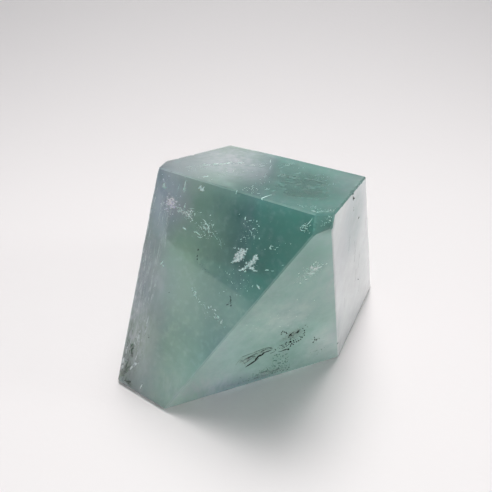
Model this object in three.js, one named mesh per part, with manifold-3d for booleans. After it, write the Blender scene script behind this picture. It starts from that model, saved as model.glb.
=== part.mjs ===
// A freeform fluorite polyhedron: one piece of banded green fluorite, sawn on eleven flat cuts, lapped
// and polished, with its edges lightly broken and a few small conchoidal chips along them.
// Millimetres, +Z up. The stone stands on its bed face at z = 0, and the origin is the middle of its
// footprint. Its broad front faces look towards -Y.
import * as THREE from 'three';
import { mergeVertices } from 'three/addons/utils/BufferGeometryUtils.js';
import Module from 'manifold-3d';

// ---------------------------------------------------------------- driving dimensions

// The flat cuts. A cut is square to the direction that it faces: azimuth in degrees from +X towards +Y,
// lift in degrees above the horizontal. reach is its distance in mm from the origin along that direction.
// The bed face isn't listed, because it is the sawn bottom of the rough block at z = 0.
const cuts = {
  table: { azimuth: 73.5, lift: 80.5, reach: 34.8 },
  front_left: { azimuth: -126, lift: 19, reach: 28.7 },
  front_right: { azimuth: -68, lift: -15, reach: 17.7 },
  brow: { azimuth: -77, lift: 20, reach: 39.1 },
  right: { azimuth: -24, lift: -0.5, reach: 19.5 },
  back: { azimuth: 58.5, lift: 27.5, reach: 16.7 },
  back_crest: { azimuth: 62, lift: 31, reach: 18.4 },
  back_left: { azimuth: 129.5, lift: 31.5, reach: 22.7 },
  left_shoulder: { azimuth: 163, lift: 23.5, reach: 25.8 },
  left: { azimuth: 171.5, lift: 11.5, reach: 21 },
};

const roughBlock = 120;      // side of the rough block, larger than the stone every way
const edgeFlat = 0.3;        // width of the flat lapped along every edge
const cornerNip = 0.15;      // depth taken off every corner
const flatAngle = 2;         // faces closer than this in degrees belong to one cut

// Chips lie along the edge between two cuts. along runs from 0 at the end with the lower x (or, on an
// upright edge, the lower z) to 1. radius is the ball that bruised the edge, bite how deep it went in.
const chips = [
  { between: ['table', 'back_left'], along: 0.17, radius: 1.0, bite: 0.2 },
  { between: ['table', 'back_left'], along: 0.4, radius: 1.2, bite: 0.24 },
  { between: ['table', 'back_crest'], along: 0.82, radius: 0.8, bite: 0.16 },
  { between: ['table', 'front_left'], along: 0.47, radius: 0.6, bite: 0.12 },
  { between: ['table', 'front_left'], along: 0.68, radius: 1.2, bite: 0.15 },
  { between: ['table', 'right'], along: 0.22, radius: 1.0, bite: 0.26 },
  { between: ['table', 'right'], along: 0.35, radius: 0.7, bite: 0.2 },
  { between: ['table', 'right'], along: 0.45, radius: 0.6, bite: 0.18 },
  { between: ['table', 'right'], along: 0.55, radius: 1.2, bite: 0.4 },
  { between: ['table', 'right'], along: 0.68, radius: 0.8, bite: 0.3 },
  { between: ['table', 'right'], along: 0.76, radius: 0.6, bite: 0.2 },
  { between: ['table', 'right'], along: 0.85, radius: 1.3, bite: 0.3 },
  { between: ['front_left', 'brow'], along: 0.45, radius: 0.8, bite: 0.2 },
  { between: ['front_left', 'left'], along: 0.05, radius: 1.4, bite: 0.22 },
  { between: ['front_left', 'left'], along: 0.13, radius: 1.0, bite: 0.18 },
  { between: ['front_left', 'left'], along: 0.44, radius: 0.8, bite: 0.16 },
  { between: ['front_left', 'bed'], along: 0.3, radius: 0.9, bite: 0.2 },
  { between: ['front_right', 'right'], along: 0.3, radius: 0.8, bite: 0.12 },
  { between: ['right', 'back'], along: 0.2, radius: 0.9, bite: 0.2 },
  { between: ['back', 'back_left'], along: 0.35, radius: 1.6, bite: 0.35 },
  { between: ['back', 'bed'], along: 0.6, radius: 1.8, bite: 0.4 },
  { between: ['left', 'back_left'], along: 0.5, radius: 1.2, bite: 0.3 },
];
const chipFacets = 3;        // how finely the bruising ball is faceted

const finish = { color: 0x6f9f92, roughness: 0.08, metalness: 0 };

// ---------------------------------------------------------------- solids

const wasm = await Module();
wasm.setup();

/** A closed three.js geometry as a manifold solid, its shared corners merged. */
function solidFrom(geometry) {
  const bare = geometry.clone();
  bare.deleteAttribute('normal');
  bare.deleteAttribute('uv');
  const welded = mergeVertices(bare, 1e-5);
  return new wasm.Manifold(new wasm.Mesh({
    numProp: 3,
    vertProperties: new Float32Array(welded.attributes.position.array),
    triVerts: new Uint32Array(welded.index.array),
  }));
}

/** The direction that a cut faces, as a unit vector. */
function facing({ azimuth, lift }) {
  const turn = THREE.MathUtils.degToRad(azimuth);
  const rise = THREE.MathUtils.degToRad(lift);
  return new THREE.Vector3(
    Math.cos(rise) * Math.cos(turn),
    Math.cos(rise) * Math.sin(turn),
    Math.sin(rise),
  );
}

/** Takes off everything beyond the plane that lies reach from the origin along a direction. */
function sawOff(stone, direction, reach) {
  const waste = new THREE.BoxGeometry(2 * roughBlock, 2 * roughBlock, roughBlock);
  waste.translate(0, 0, reach + roughBlock / 2);
  waste.applyQuaternion(new THREE.Quaternion().setFromUnitVectors(new THREE.Vector3(0, 0, 1), direction));
  return stone.subtract(solidFrom(waste));
}

/** The triangles of a solid, each with its three corners and its outward normal. */
function trianglesOf(stone) {
  const mesh = stone.getMesh();
  const corner = (i) => new THREE.Vector3().fromArray(mesh.vertProperties, i * mesh.numProp);
  const triangles = [];
  for (let i = 0; i < mesh.triVerts.length; i += 3) {
    const ids = [...mesh.triVerts.subarray(i, i + 3)];
    const triangle = new THREE.Triangle(...ids.map(corner));
    triangles.push({ ids, triangle, normal: triangle.getNormal(new THREE.Vector3()) });
  }
  return triangles;
}

/** The sharp edges of a solid: both ends and the normals of the two faces that meet there. */
function sharpEdgesOf(stone) {
  const seen = new Map();
  const edges = [];
  for (const { ids, triangle, normal } of trianglesOf(stone)) {
    const points = [triangle.a, triangle.b, triangle.c];
    for (let k = 0; k < 3; k += 1) {
      const next = (k + 1) % 3;
      const key = [ids[k], ids[next]].sort((p, q) => p - q).join('-');
      const other = seen.get(key);
      if (other && normal.angleTo(other) > THREE.MathUtils.degToRad(flatAngle)) {
        edges.push({ ids: [ids[k], ids[next]], ends: [points[k], points[next]], normals: [normal, other] });
      }
      seen.set(key, normal);
    }
  }
  return edges;
}

/** Laps a narrow flat along every edge. Its depth follows from its width and the angle of the edge. */
function breakEdges(stone, edges) {
  let lapped = stone;
  for (const { ends, normals } of edges) {
    const outward = normals[0].clone().add(normals[1]).normalize();
    const depth = (edgeFlat / 2) * Math.tan(normals[0].angleTo(normals[1]) / 2);
    lapped = sawOff(lapped, outward, outward.dot(ends[0]) - depth);
  }
  return lapped;
}

/** Nips off every corner where three or more faces meet, square to their mean. */
function nipCorners(stone, edges) {
  const same = THREE.MathUtils.degToRad(flatAngle / 4);
  const corners = new Map();
  for (const { ids, ends, normals } of edges) {
    ids.forEach((id, k) => {
      const corner = corners.get(id) ?? { point: ends[k], faces: [] };
      for (const normal of normals) {
        if (!corner.faces.some((face) => face.angleTo(normal) < same)) corner.faces.push(normal);
      }
      corners.set(id, corner);
    });
  }
  let nipped = stone;
  for (const { point, faces } of corners.values()) {
    if (faces.length > 2) {
      const outward = faces.reduce((sum, face) => sum.add(face), new THREE.Vector3()).normalize();
      nipped = sawOff(nipped, outward, outward.dot(point) - cornerNip);
    }
  }
  return nipped;
}

/** The two ends of the edge between two named cuts, the lower in x or, on an upright edge, in z first. */
function endsBetween(names, edges) {
  const directions = names.map((name) => (name === 'bed' ? new THREE.Vector3(0, 0, -1) : facing(cuts[name])));
  const close = THREE.MathUtils.degToRad(flatAngle / 4);
  const edge = edges.find(({ normals: [one, two] }) => (
    (one.angleTo(directions[0]) < close && two.angleTo(directions[1]) < close)
    || (one.angleTo(directions[1]) < close && two.angleTo(directions[0]) < close)));
  if (!edge) throw new Error(`no edge between ${names.join(' and ')}`);
  const span = edge.ends[1].clone().sub(edge.ends[0]);
  const upright = Math.abs(span.z) > Math.abs(span.x);
  return (upright ? span.z : span.x) > 0 ? edge.ends : [edge.ends[1], edge.ends[0]];
}

/** Knocks the chips out of the edges with a faceted ball for each. */
function chipEdges(stone, edges) {
  let chipped = stone;
  for (const { between, along, radius, bite } of chips) {
    const [start, end] = endsBetween(between, edges);
    const sides = between.map((name) => (name === 'bed' ? new THREE.Vector3(0, 0, -1) : facing(cuts[name])));
    const outward = sides[0].add(sides[1]).normalize();
    const centre = start.clone().lerp(end, along).addScaledVector(outward, radius - bite);
    const ball = new THREE.IcosahedronGeometry(radius, chipFacets);
    ball.translate(...centre);
    chipped = chipped.subtract(solidFrom(ball));
  }
  return chipped;
}

/** A manifold solid as a flat-shaded three.js geometry, moved so that its footprint is centred. */
function centredGeometry(stone) {
  const mesh = stone.getMesh();
  const geometry = new THREE.BufferGeometry();
  geometry.setAttribute('position', new THREE.BufferAttribute(new Float32Array(mesh.vertProperties), 3));
  geometry.setIndex(new THREE.BufferAttribute(new Uint32Array(mesh.triVerts), 1));
  geometry.computeBoundingBox();
  const middle = geometry.boundingBox.getCenter(new THREE.Vector3());
  geometry.translate(-middle.x, -middle.y, 0);
  geometry.computeVertexNormals();
  return geometry;
}

// ---------------------------------------------------------------- the stone

function fluoritePolyhedron() {
  const rough = new THREE.BoxGeometry(roughBlock, roughBlock, roughBlock);
  rough.translate(0, 0, roughBlock / 2);
  let stone = solidFrom(rough);
  for (const cut of Object.values(cuts)) {
    stone = sawOff(stone, facing(cut), cut.reach);
  }
  const edges = sharpEdgesOf(stone);
  stone = breakEdges(stone, edges);
  stone = nipCorners(stone, edges);
  stone = chipEdges(stone, edges);
  const mesh = new THREE.Mesh(centredGeometry(stone), new THREE.MeshStandardMaterial(finish));
  mesh.name = 'fluorite_polyhedron';
  return mesh;
}

const specimen = new THREE.Group();
specimen.add(fluoritePolyhedron());

export default specimen;
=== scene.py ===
"""A cut and polished freeform of zoned fluorite, resting on the flat it was sawn on.

The stone is one see-through solid. Its veils, cleavage flakes, crack steps, specks and stains are thin
closed pieces laid at the skin of its polished flats. Lengths are in millimetres and angles in degrees until
a mesh, a lamp or a node takes them.
"""

import functools
import math
import bmesh
import bpy
import numpy as np
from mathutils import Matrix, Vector


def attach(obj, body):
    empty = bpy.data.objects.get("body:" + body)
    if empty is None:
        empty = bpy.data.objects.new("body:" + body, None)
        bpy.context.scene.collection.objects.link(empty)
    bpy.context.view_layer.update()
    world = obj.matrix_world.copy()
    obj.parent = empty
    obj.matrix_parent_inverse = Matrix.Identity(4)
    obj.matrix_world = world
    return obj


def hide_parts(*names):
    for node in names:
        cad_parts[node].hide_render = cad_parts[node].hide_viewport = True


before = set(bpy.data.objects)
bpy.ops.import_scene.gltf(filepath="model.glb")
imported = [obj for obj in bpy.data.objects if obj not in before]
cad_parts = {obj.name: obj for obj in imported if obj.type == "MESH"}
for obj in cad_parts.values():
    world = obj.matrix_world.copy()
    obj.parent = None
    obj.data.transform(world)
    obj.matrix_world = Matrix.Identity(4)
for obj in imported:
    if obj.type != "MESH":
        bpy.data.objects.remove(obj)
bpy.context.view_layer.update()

MM = 0.001
STONE_NODE = "fluorite_polyhedron"
BODY = "root"
scene = bpy.context.scene

# The flats, as they were cut and finished: azimuth and lift of the outward normal, distance from the
# origin, the milk left in the skin, where 0 is clear and 1.3 the milkiest, and the skin's tint.
FLATS = {
    "table": (73.5, 80.5, 34.81, 0.12, "#D8F0E8"),
    "front_left": (-126, 19, 28.62, 0.0, "#DDE8E6"),
    "front_right": (-68, -15, 17.68, 0.8, "#D6F2E6"),
    "brow": (-77, 20, 39.07, 0.2, "#D6F2E6"),
    "right": (-24, -0.5, 19.55, 1.3, "#F2F4F5"),
    "back": (58.5, 27.5, 16.77, 0.25, "#E2EAE8"),
    "back_crest": (62, 31, 18.47, 0.25, "#E2EAE8"),
    "back_left": (129.5, 31.5, 22.69, 0.25, "#E2E6EA"),
    "left_shoulder": (163, 23.5, 25.75, 0.3, "#E2E6EA"),
    "left": (171.5, 11.5, 20.94, 0.35, "#E2E6EA"),
    "bed": (0, -90, 0, 1.2, "#FFFFFF"),
}
# Faces that turn less than 2 degrees from a flat belong to it.
SAME_FLAT = math.cos(math.radians(2))
# The narrow flats lapped along the edges, and the edges set milkier or clearer. The milky, paler edge skins
# are painted highlight lines where the bevels catch light, and those along the foot paint light over the
# contact shade.
EDGE_SKIN = (0.1, "#DFF2EC")
EDGE_SKINS_AND_HIGHLIGHTS = {
    ("front_right", "right"): (1.0, "#FFFFFF"),
    ("table", "front_left"): (0.45, "#D8F4EA"),
    ("front_left", "front_right"): (0.3, "#D8F0E8"),
    ("table", "right"): (0.0, "#FFFFFF"),
    ("front_left", "bed"): (0.5, "#DFF2EA"),
    ("front_right", "bed"): (0.5, "#DFF2EA"),
}


def srgb(code):
    """Linear colour with alpha 1 of an sRGB hex code."""
    parts = np.array([int(code[i : i + 2], 16) for i in (1, 3, 5)]) / 255
    linear = np.where(parts <= 0.04045, parts / 12.92, ((parts + 0.055) / 1.055) ** 2.4)
    return (*linear.tolist(), 1.0)


def add(tree, kind, feeds=(), **settings):
    """Adds one node to a tree. Settings are its own; a feed is a node or socket to link, or a plain value."""
    made = tree.nodes.new("ShaderNode" + kind)
    for name, value in settings.items():
        setattr(made, name, value)
    for name, feed in dict(feeds).items():
        if isinstance(feed, bpy.types.Node):
            feed = feed.outputs[0]
        if isinstance(feed, bpy.types.NodeSocket):
            tree.links.new(feed, made.inputs[name])
        else:
            made.inputs[name].default_value = feed
    return made


def new_material(name):
    """An empty material, what adds a node to it, and its Object coordinates in millimetres."""
    made = bpy.data.materials.new(name)
    made.use_nodes = True
    made.node_tree.nodes.clear()
    put = functools.partial(add, made.node_tree)
    place = put("TexCoord").outputs["Object"]
    return made, put, put("Mapping", {"Vector": place, "Scale": (1 / MM, 1 / MM, 1 / MM)})


def with_stops(ramp, marks):
    """A colour ramp, given its (place, hex) stops."""
    elements = ramp.color_ramp.elements
    while len(elements) < len(marks):
        elements.new(0.5)
    for element, (place, code) in zip(elements, marks):
        element.position = place
        element.color = srgb(code)
    return ramp


def rise(value, low, high, least=0.0, most=1.0):
    """The feeds of a range: least where value is under low, most where it is over high, even between."""
    return {"Value": value, "From Min": low, "From Max": high, "To Min": least, "To Max": most}


# ---------------- the stone's own finish
# The crystal grew in zones square to this axis. Each zone's place along it in millimetres, and its colour.
ZONE_AXIS = (0.964, -0.187, -0.189)
ZONE_LOW, ZONE_HIGH = -26.0, 26.0
ZONE_DRIFT = 4.0
ZONES = [
    (-23, "#DADFE0"), (-18.5, "#CCD4DC"), (-15, "#C2D2D0"), (-12, "#B8DCC6"),
    (-8.5, "#ACD6C4"), (-5.5, "#88BCB2"), (-3.4, "#7AACAC"), (-2.2, "#6AB4AA"),
    (5, "#60B6A6"), (11, "#7ABEAE"), (17, "#BCD8D0"), (24, "#E0EAE8"),
]
# How growth and lapping vary over the stone: features a millimetre, stretch, detail and roughness.
GRAIN = {
    "drift": (0.11, (1, 1, 1), 4, 0.55),  # the zones wander, over about 9 mm
    "streaks": (1.4, (1, 1, 0.1), 5, 0.6),  # growth streaks stand about 0.7 mm apart
    "wisps": (0.45, (1, 1, 1), 6, 0.65),  # the milk of healed cracks curls over about 2 mm
    "flecks": (1.1, (1, 1, 1), 3, 0.5),  # flecks just under 1 mm
    "lap": (0.16, (1, 1, 1), 2, 0.55),  # the hand lap leaves waves about 6 mm long
}
# The pale veil under the table stops short where the green zones start.
TABLE_CLOUD = ((-4, -5, 37), (11, 16, 6))
TABLE_CLOUD_END = (-3.6, -2.4)
# Milky clouds that reach the skin, each with its centre, half sizes and strength.
CLOUDS = [
    ((-14, -13, 34), (7, 7, 6), 0.4),
    ((-21, -16, 14), (6.5, 9, 30), 0.75),
    ((13, -20, 26), (9, 9, 12), 0.5),
    ((-9, -24, 4), (12, 6, 6), 0.5),
    ((-16.5, -16.8, 21), (3.5, 4, 6.5), 0.5),
    ((-22.7, -19.5, 4), (2.5, 3, 4), 0.5),
    ((10, 15, 12), (7, 9, 15), 0.6),
    ((-12, 14, 20), (8, 8, 10), 0.5),
    ((-22, 4, 12), (6, 7, 14), 0.6),
]
# Patches of deeper or bluer colour, each with its centre, half sizes, strength and colour. Those on the right
# flat are painted: grey ones paint the reflection of the surroundings it mirrors, and a white one at its foot
# paints light over the contact shade.
TINT_AND_PAINTED_LIGHT_PATCHES = [
    ((-3.8, -17.5, 36), (8.5, 7, 6), 0.75, "#36847C"),
    ((-2, -20, 35), (4, 5, 4), 0.4, "#3E7880"),
    ((7.5, -13.5, 38), (12, 10, 3), 0.75, "#38766A"),
    ((0, -10, 37.3), (5, 8, 3), 0.4, "#D2D0E0"),
    ((5, -23.5, 18), (8, 6, 8), 0.75, "#F0FFFA"),
    # Painted light: a white patch that lifts the shade at the foot of the right flat.
    ((12.5, -18, 7), (7, 7, 9), 0.75, "#F6FFFA"),
    ((-5, -22, 1.5), (9, 6, 4.5), 0.85, "#6C869E"),
    ((7.3, -25.8, 32), (5, 4, 6), 0.65, "#84BCAC"),
    ((-13, -18, 24), (7, 6, 14), 0.85, "#E2FFF4"),
    ((-11, -20, 24), (3, 6, 9), 0.4, "#D2F4C8"),
    ((-4, -25.5, 21.5), (6, 5, 8), 0.6, "#C0F0E0"),
    ((-15, -13, 34), (6, 7, 8), 0.85, "#CCD4F2"),
    ((-20, -18.5, 8), (7, 5, 14), 0.85, "#EEFAE4"),
    # Painted reflection: greys on the right flat for the darker surroundings it mirrors.
    ((15, -15, 33), (8, 12, 12), 0.8, "#9CB2B2"),
    ((16.5, -13, 27), (6, 9, 7), 0.5, "#A6B8B6"),
    ((-15.8, -11, 36.5), (3.6, 4, 6), 0.8, "#64788A"),
    ((-12, -14.5, 33), (4, 4, 5), 0.5, "#F0F0F8"),
    ((-6.5, -18.5, 33), (3.5, 4, 4), 0.35, "#B8E0D2"),
    ((9.6, -26.5, 37.2), (2.4, 2, 1.7), 0.85, "#588C80"),
    ((7.5, -19, 38), (7, 3.5, 2.5), 0.75, "#477A6C"),
    ((-12, -24.5, 1.5), (5, 4, 3), 0.5, "#A8E8C0"),
    ((-16.3, -16.8, 21), (3, 4, 6), 0.5, "#FFFFFF"),
    ((-24.4, -19.3, 3.2), (1.8, 2.5, 3), 0.6, "#FFF6DC"),
    ((-12.4, -16.4, 28.5), (3, 4, 5), 0.3, "#B4E4B8"),
    ((0.5, -20, 0.5), (7, 5, 3), 0.85, "#7A98A4"),
    # Painted reflection: a grey low on the right flat.
    ((14, -17, 10), (3, 4, 7), 0.5, "#98A4A8"),
    ((2, 16, 20), (6, 8, 9), 0.7, "#3C7E72"),
    ((-9, 19, 8), (9, 7, 8), 0.55, "#B8B4DA"),
    ((16, 10, 5), (8, 10, 6), 0.5, "#86ACC0"),
    ((-20, -2, 20), (6, 8, 8), 0.5, "#9C9CC8"),
]
# A colder growth zone ends in a clean line across the front left flat, and the crystal is paler below it.
PALE_PLACE, PALE_REACH, PALE_SHARE = (-8, -21, 23), (16, 11, 14), 0.5
PALE_FACING, PALE_START, PALE_EDGE = (-0.302, -0.179, -0.936), -17.7, 0.4
# Iron stain in the lower left corner, which also lets less light through.
STAIN_PLACE, STAIN_REACH = (-24.5, -19.5, 3.0), (3.5, 4.0, 5.0)
STAIN_SHARE, STAIN_DULLS = 0.7, -0.35
# Fluorite's index is low. Light is lost in its depth, and its milk scatters some over about 20 mm.
FLUORITE_INDEX = 1.434
DEPTH_COLOUR, DEPTH_DENSITY = "#6FB3A8", 4.5
MILK_REACH = 20
# The share of light that passes a skin with no milk, and one with the most.
CLEAREST, MILKIEST, MOST_MILK = 0.8, 0.42, 1.3


def patch(put, mm, centre, reach, broken):
    """An ellipsoid patch: 1 at its centre, falling smoothly to 0 at its half sizes, broken up by a range."""
    shift = [-c / r for c, r in zip(centre, reach)]
    local = put("Mapping", {"Vector": mm, "Location": shift, "Scale": [1 / r for r in reach]})
    far = put("VectorMath", {0: local}, operation="LENGTH").outputs["Value"]
    near = put("MapRange", {"Value": far, "To Min": 1.0, "To Max": 0.0}, interpolation_type="SMOOTHSTEP")
    return put("Math", {0: near, 1: put("MapRange", broken)}, operation="MULTIPLY")


def polished_fluorite():
    """Fluorite, sawn, lapped flat and polished by hand. Its index is low, so its flats shine less than
    glass; the milk in its skin softens what is seen through it, and its growth zones run from lavender
    through green. Each layer is a share of the skin and the colour laid over what is under it; a few
    patches paint the reflection and the light on the right flat."""
    made, put, mm = new_material("lapped_and_polished_fluorite")
    grain = {}
    for name, (per_mm, stretch, detail, rough) in GRAIN.items():
        drawn = put("Mapping", {"Vector": mm, "Scale": stretch})
        feeds = {"Vector": drawn, "Scale": per_mm, "Detail": detail, "Roughness": rough}
        grain[name] = put("TexNoise", feeds)
    wisps, streaks, flecks = grain["wisps"], grain["streaks"], grain["flecks"]

    axis = put("VectorMath", {0: mm, 1: ZONE_AXIS}, operation="DOT_PRODUCT").outputs["Value"]
    drift = put("Math", {0: grain["drift"], 1: ZONE_DRIFT}, operation="MULTIPLY")
    along = put("Math", {0: axis, 1: drift}, operation="ADD")
    level = put("MapRange", rise(along, ZONE_LOW + ZONE_DRIFT / 2, ZONE_HIGH + ZONE_DRIFT / 2))
    zones = [((at - ZONE_LOW) / (ZONE_HIGH - ZONE_LOW), code) for at, code in ZONES]
    colour = with_stops(put("ValToRGB", {"Fac": level}), zones).outputs["Color"]

    skin = put("Attribute", attribute_name="skin")
    uneven = put("MapRange", rise(wisps, 0.3, 0.7, 0.8))
    milk = put("Math", {0: skin.outputs["Alpha"], 1: uneven}, operation="MULTIPLY")
    layers = [(put("MapRange", rise(wisps, 0.42, 0.7, 0.0, 0.35)), srgb("#5F968C"))]
    layers.append((milk, skin.outputs["Color"]))
    # Besides tints, these patches hold a painted reflection and painted light on the right flat.
    for centre, reach, strength, code in TINT_AND_PAINTED_LIGHT_PATCHES:
        share = patch(put, mm, centre, reach, rise(wisps, 0.3, 0.6, 0.5 * strength, strength))
        layers.append((share, srgb(code)))
    below = put("VectorMath", {0: mm, 1: PALE_FACING}, operation="DOT_PRODUCT").outputs["Value"]
    pale = rise(below, PALE_START, PALE_START + PALE_EDGE, 0.0, PALE_SHARE)
    layers.append((patch(put, mm, PALE_PLACE, PALE_REACH, pale), srgb("#E8FFF6")))

    cloud = patch(put, mm, *TABLE_CLOUD, rise(axis, *TABLE_CLOUD_END, 1.0, 0.0))
    curdled = put("MapRange", rise(put("Math", {0: flecks, 1: wisps}, operation="ADD"), 0.75, 1.2, 0.6))
    cloud = put("Math", {0: cloud, 1: curdled}, operation="MULTIPLY")
    for centre, reach, strength in CLOUDS:
        veil = patch(put, mm, centre, reach, rise(streaks, 0.4, 0.62, 0.15, strength))
        cloud = put("Math", {0: cloud, 1: veil}, operation="MAXIMUM")
    haze = put("MapRange", rise(flecks, 0.5, 0.8, 0.0, 0.2))
    cloud = put("Math", {0: cloud, 1: haze}, operation="MAXIMUM")
    layers.append((cloud, srgb("#E8E8F0")))
    milk = put("Math", {0: milk, 1: cloud}, operation="MAXIMUM")

    stain = patch(put, mm, STAIN_PLACE, STAIN_REACH, rise(streaks, 0.42, 0.6))
    layers.append((put("Math", {0: stain, 1: STAIN_SHARE}, operation="MULTIPLY"), srgb("#8A9468")))
    for share, tint in layers:
        colour = put("Mix", {0: share, 6: colour, 7: tint}, data_type="RGBA").outputs[2]

    dulled = put("Math", {0: stain, 1: STAIN_DULLS}, operation="MULTIPLY")
    passing = put("Math", {0: dulled, 1: 1.0}, operation="ADD")
    clear = put("MapRange", rise(milk, 0.0, MOST_MILK, CLEAREST, MILKIEST))
    look = {
        "Base Color": colour,
        "Roughness": put("MapRange", rise(wisps, 0.35, 0.7, 0.09, 0.16)),
        "Transmission Weight": put("Math", {0: clear, 1: passing}, operation="MULTIPLY"),
        "Normal": put("Bump", {"Height": grain["lap"], "Strength": 0.15, "Distance": 0.6 * MM}),
        "IOR": FLUORITE_INDEX,
        "Subsurface Weight": 1.0,
        "Subsurface Radius": (1.0, 1.0, 1.0),
        "Subsurface Scale": MILK_REACH * MM,
    }
    depth = put("VolumeAbsorption", {"Color": srgb(DEPTH_COLOUR), "Density": DEPTH_DENSITY})
    put("OutputMaterial", {"Surface": put("BsdfPrincipled", look), "Volume": depth})
    return made


# ---------------- finishes of the marks
def mottled_mark(name, light, dark, per_mm, roughness=0.3, index=1.5):
    """A mark that light doesn't pass: its two shades are mottled, about per_mm patches a millimetre."""
    made, put, mm = new_material(name)
    mottle = put("TexNoise", {"Vector": mm, "Scale": per_mm, "Detail": 4})
    shade = with_stops(put("ValToRGB", {"Fac": mottle}), [(0.35, dark), (0.6, light)])
    shader = put("BsdfPrincipled", {"Base Color": shade, "Roughness": roughness, "IOR": index})
    put("OutputMaterial", {"Surface": shader})
    return made


def fading_mark(name, light, dark, most, per_mm, low, high):
    """A thin cloud or stain: its noise, from low to high, and the piece's own fade set how much shows."""
    made, put, mm = new_material(name)
    mottle = put("TexNoise", {"Vector": mm, "Scale": per_mm, "Detail": 6, "Roughness": 0.62})
    shade = with_stops(put("ValToRGB", {"Fac": mottle}), [(0.35, dark), (0.65, light)])
    fade = put("Attribute", attribute_name="fade").outputs["Fac"]
    cover = put("MapRange", rise(mottle, low, high, 0.0, most))
    alpha = put("Math", {0: cover, 1: fade}, operation="MULTIPLY")
    shader = put("BsdfPrincipled", {"Base Color": shade, "Alpha": alpha, "Roughness": 0.6, "IOR": 1.5})
    put("OutputMaterial", {"Surface": shader})
    return made


# ---------------- laying marks on the flats
PLATE_THICK, LENS_THICK = 0.05, 0.06
LENS_RINGS, LENS_SPOKES = 7, 28
LEAN = 3  # how far in degrees a scattered plate leans out of its flat
RIM = 0.25  # scattered plates keep this far from the rim of their flat
STRAND_STEPS = 12
SWELL = 1.2  # a rough grain has more of its corners pushed in than out, so it starts larger
FULL_TURN = 6.28


def flat_frame(flat):
    """Foot of the normal, and the unit vectors across, up and out of a flat."""
    azimuth, lift, reach = FLATS[flat][:3]
    a, b = math.radians(azimuth), math.radians(lift)
    out = np.array([math.cos(b) * math.cos(a), math.cos(b) * math.sin(a), math.sin(b)])
    across = np.array([-math.sin(a), math.cos(a), 0.0])
    return out * reach, across, np.cross(out, across), out


def lay(flat, across, up, depth):
    """Points at distances across and up a flat, and a depth below it."""
    foot, u, v, out = flat_frame(flat)
    across, up, depth = (np.asarray(x, float)[..., None] for x in np.broadcast_arrays(across, up, depth))
    return foot + across * u + up * v - depth * out


def swung(across, up, turn, run, side):
    """Places in a flat that lie run along and side beside a line, which is turned from across towards up."""
    a = np.radians(turn)
    return across + run * np.cos(a) - side * np.sin(a), up + run * np.sin(a) + side * np.cos(a)


def show(data):
    """An object of a mesh, a lamp or a camera, under its own name, at the origin."""
    made = bpy.data.objects.new(data.name, data)
    scene.collection.objects.link(made)
    return made


def build(name, material, points, faces, fade=None):
    """One piece from arrays of points in millimetres and of corners, riding on the stone."""
    mesh = bpy.data.meshes.new(name)
    mesh.from_pydata((points * MM).tolist(), [], faces.tolist())
    if fade is not None:
        mesh.attributes.new("fade", "FLOAT", "POINT").data.foreach_set("value", fade.astype(np.float32))
    mesh.materials.append(material)
    made = show(mesh)
    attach(made, BODY)


def repeat(block, count, size):
    """The corner numbers of one shape, repeated for count shapes of size points each."""
    return (np.arange(count)[:, None, None] * size + block[None]).reshape(-1, block.shape[1])


def chips(centre, along, out, length, width, rng, corners=9, ragged=0.4):
    """Thin ragged plates. Round a plate at angle t the rim is centre + f(length cos t along + width sin t
    side), with f a random factor at each corner that bites deeper than it juts; two such rims lie one
    thickness apart, each fanned from its middle."""
    n = len(length)
    side = np.cross(out, along)
    t = np.linspace(0, 2 * math.pi, corners, endpoint=False)
    f = 1.1 - 1.5 * ragged * rng.random((n, corners)) ** 1.5 + ragged * rng.random((n, corners)) ** 3
    rim = (length[:, None] * f * np.cos(t))[..., None] * along[:, None]
    rim = rim + (width[:, None] * f * np.sin(t))[..., None] * side[:, None] + centre[:, None]
    lift = out[:, None] * PLATE_THICK / 2
    points = np.concatenate([rim + lift, rim - lift, centre[:, None] + lift, centre[:, None] - lift], 1)
    i = np.arange(corners)
    j = (i + 1) % corners
    m = corners
    fan = [np.stack([i, j, i * 0 + 2 * m], 1), np.stack([m + j, m + i, i * 0 + 2 * m + 1], 1)]
    wall = [np.stack([i, m + i, m + j], 1), np.stack([i, m + j, j], 1)]
    block = np.concatenate(fan + wall)
    return points.reshape(-1, 3), repeat(block, n, 2 * m + 2)


def strands(path, width, out, thick):
    """Thin strips: a flat diamond of the given width and thickness, carried along each path of points."""
    n, k = path.shape[:2]
    ahead = np.gradient(path, axis=1)
    ahead /= np.linalg.norm(ahead, axis=2, keepdims=True)
    side = np.cross(out, ahead)
    side /= np.linalg.norm(side, axis=2, keepdims=True)
    up = np.cross(ahead, side)
    half = width[..., None] / 2
    flat = np.minimum(half, thick / 2)
    ring = np.stack([path + side * half, path + up * flat, path - side * half, path - up * flat], 2)
    s, c = (x.ravel() for x in np.meshgrid(np.arange(k - 1), np.arange(4), indexing="ij"))
    d = (c + 1) % 4
    quads = np.stack([s * 4 + c, s * 4 + d, s * 4 + 4 + d, s * 4 + 4 + c], 1)
    caps = np.array([[3, 2, 1, 0], [4 * k - 4, 4 * k - 3, 4 * k - 2, 4 * k - 1]])
    return ring.reshape(-1, 3), repeat(np.concatenate([quads, caps]), n, 4 * k)


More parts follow.
